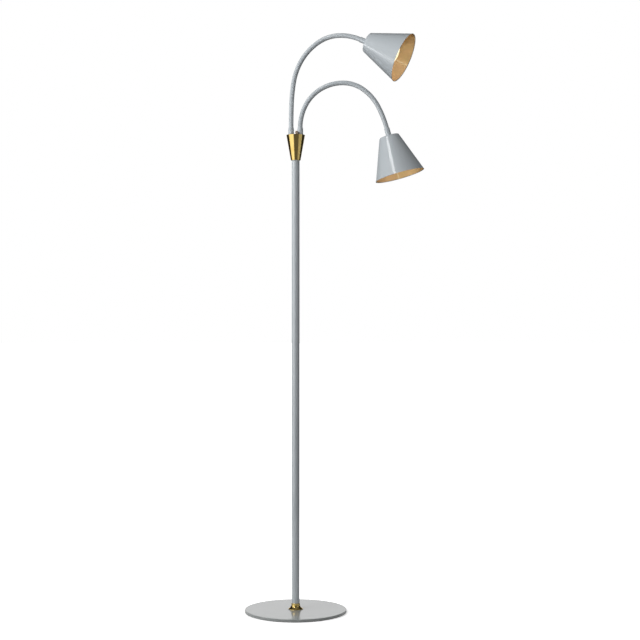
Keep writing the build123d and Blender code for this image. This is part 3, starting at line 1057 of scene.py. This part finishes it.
class LAMP_OT_stage(bpy.types.Operator):
    """Set the camera, the white floor and the studio's lights."""

    bl_idname = "lamp.stage"
    bl_label = "Stage"

    def execute(self, context):
        stage = context.scene.lamp_stage
        key, fill, strip = stage.key_light, stage.fill_light, stage.strip_light
        context.scene.view_settings.view_transform = "Standard"
        self.camera(context, stage)
        self.floor(stage)
        self.sky(context, stage)
        self.soft_box("key_box", key, azimuth=-59, distance=1.6, height=0.89, size=(1.98, 1.08))
        self.soft_box("fill_box", fill, azimuth=62, distance=1.9, height=1.0, size=(1.38, 1.3))
        low = self.soft_box("low_box", key, azimuth=-59, distance=1.6, height=0.22, size=(1.98, 0.26))
        low.visible_diffuse = False
        self.soft_box("edge_strip", strip, azimuth=-88, distance=2.0, height=1.33, size=(0.4, 0.2))
        self.soft_box("high_strip", strip, azimuth=-42, distance=1.9, height=2.9, size=(0.7, 0.4), aim=1.13)
        self.silk("silk", stage.silk_light, azimuth=-60, distance=1.8, height=1.9, size=(1.6, 1.2), aim=1.1)
        self.silk("fill_silk", fill, azimuth=62, distance=1.9, height=1.0, size=(1.38, 1.3))
        self.inner_box("upper", stage.inner_light, azimuth=22, distance=3.0, height=1.9)
        self.inner_box("lower", stage.inner_light, azimuth=10, distance=2.9, height=0.45)
        return {"FINISHED"}

    def camera(self, context, stage):
        """A camera that looks along +Y, level."""
        lens = bpy.data.cameras.new("camera")
        lens.lens, lens.sensor_width = stage.lens, 36.0
        obj = bpy.data.objects.new("camera", lens)
        obj.location, obj.rotation_euler = stage.camera_place, (pi / 2, 0, 0)
        context.scene.collection.objects.link(obj)
        context.scene.camera = obj

    def floor(self, stage):
        """A floor that is white to the camera and keeps the shadow; mirrors see it end in the dark."""
        bm = bmesh.new()
        bmesh.ops.create_circle(bm, cap_ends=True, radius=stage.floor_radius, segments=64)
        mesh = bpy.data.meshes.new("floor")
        bm.to_mesh(mesh)
        bm.free()
        obj = bpy.data.objects.new("floor", mesh)
        bpy.context.scene.collection.objects.link(obj)
        recipe, place = material("white_floor")
        mesh.materials.append(recipe.owner)
        camera, mirror = self.rays(recipe)
        reach = recipe.add("ShaderNodeVectorMath", {"operation": "LENGTH"}, place, out="Value")
        behind = recipe.add("ShaderNodeSeparateXYZ", {}, place, out="Y").above(-0.5, 0.5)
        past_base = reach.above(0.12, 0.2)
        far_out = reach.above(1.3, 2.0)
        matt = recipe.add("ShaderNodeBsdfDiffuse", Color=(0.86, 0.86, 0.86))
        dim = recipe.add("ShaderNodeBsdfDiffuse", Color=(0.10, 0.10, 0.10))
        lift = recipe.add("ShaderNodeEmission", Strength=past_base * 0.6 + 0.6)
        dark = recipe.add("ShaderNodeEmission", Strength=0.12 - behind * 0.1)
        seen = recipe.add("ShaderNodeAddShader", {}, matt, lift)
        mirrored = recipe.add("ShaderNodeMixShader", {}, far_out, matt, dark)
        unseen = recipe.add("ShaderNodeMixShader", {}, mirror, dim, mirrored)
        both = recipe.add("ShaderNodeMixShader", {}, camera, unseen, seen)
        recipe.feed(recipe.output.inputs["Surface"], both)

    def sky(self, context, stage):
        """White to the camera, and soft light with a dark studio around it for everything else."""
        context.scene.world = bpy.data.worlds.new("studio")
        recipe = Recipe(context.scene.world, "ShaderNodeOutputWorld")
        camera, mirror = self.rays(recipe)
        way = recipe.add("ShaderNodeTexCoord", out="Generated")
        ahead, up = (recipe.add("ShaderNodeSeparateXYZ", {}, way, out=axis) for axis in "YZ")
        studio = 0.12
        backdrop = ahead.above(0.88, 0.96) * 0.9
        overhead = up.above(0.7, 0.95) * 0.1
        rear = ahead.above(-0.3, 0.1) * 0.1
        mirrored = backdrop + overhead + studio - rear
        light = (1 - mirror) * stage.sky + mirror * mirrored
        strength = (1 - camera) * light + camera
        glow = recipe.add("ShaderNodeBackground", Color=(1, 1, 1), Strength=strength)
        recipe.feed(recipe.output.inputs["Surface"], glow)

    def rays(self, recipe):
        """Whether a ray comes from the camera, and whether from a mirror or through glass."""
        kinds = ("Is Camera Ray", "Is Glossy Ray", "Is Transmission Ray")
        camera, glossy, glass = (recipe.add("ShaderNodeLightPath", out=kind) for kind in kinds)
        return camera, glossy | glass

    def soft_box(self, name, glow, azimuth, distance, height, size, aim=None):
        """A flat soft box that faces a point on the pole's axis; azimuths run from the camera's side."""
        light = bpy.data.lights.new(name, "AREA")
        light.shape = "RECTANGLE"
        light.size, light.size_y = size
        light.energy = glow * pi * size[0] * size[1]
        obj = bpy.data.objects.new(name, light)
        turn = radians(azimuth)
        obj.location = Vector((sin(turn) * distance, -cos(turn) * distance, height))
        target = Vector((0, 0, height if aim is None else aim))
        obj.rotation_euler = (target - obj.location).to_track_quat("-Z", "Y").to_euler()
        bpy.context.scene.collection.objects.link(obj)
        return obj

    def silk(self, name, glow, **place):
        """A soft box that mirrors don't show."""
        box = self.soft_box(name, glow, **place)
        box.visible_glossy = False
        return box

    def inner_box(self, arm, glow, **place):
        """A silk that lights one shade's lining and nothing else."""
        box = self.silk(f"{arm}_inner_box", glow, size=(1.2, 0.8), aim=1.3, **place)
        only = bpy.data.collections.new(f"{arm}_inside")
        only.objects.link(bpy.data.objects[f"{arm}_lining"])
        box.light_linking.receiver_collection = only


# ---------------------------------------------------------------- add-on

STEPS = (
    LAMP_OT_finishes,
    LAMP_OT_base,
    LAMP_OT_pole,
    LAMP_OT_collar,
    LAMP_OT_button,
    LAMP_OT_necks,
    LAMP_OT_end_ferrules,
    LAMP_OT_shades,
    LAMP_OT_liners,
    LAMP_OT_holders,
    LAMP_OT_bulbs,
    LAMP_OT_stage,
)


class LAMP_PT_panel(bpy.types.Panel):
    """Sizes, colours and the steps that build the lamp."""

    bl_idname = "LAMP_PT_panel"
    bl_label = "Floor Lamp"
    bl_space_type = "VIEW_3D"
    bl_region_type = "UI"
    bl_category = "Floor Lamp"

    def draw(self, context):
        for step in STEPS:
            self.layout.operator(step.bl_idname)
        for name, group in GROUPS.items():
            box = self.layout.box()
            for key in group.__annotations__:
                box.prop(getattr(context.scene, name), key)


CLASSES = (*GROUPS.values(), *STEPS, LAMP_PT_panel)


def register():
    """Makes the groups, operators and panel known."""
    for cls in CLASSES:
        bpy.utils.register_class(cls)
    for name, group in GROUPS.items():
        setattr(bpy.types.Scene, name, PointerProperty(type=group))


def unregister():
    """Takes them away again."""
    for name in GROUPS:
        delattr(bpy.types.Scene, name)
    for cls in reversed(CLASSES):
        bpy.utils.unregister_class(cls)


def main():
    """Builds the lamp and its stage."""
    register()
    for step in STEPS:
        group, operator = step.bl_idname.split(".")
        getattr(getattr(bpy.ops, group), operator)()


if __name__ == "__main__":
    main()
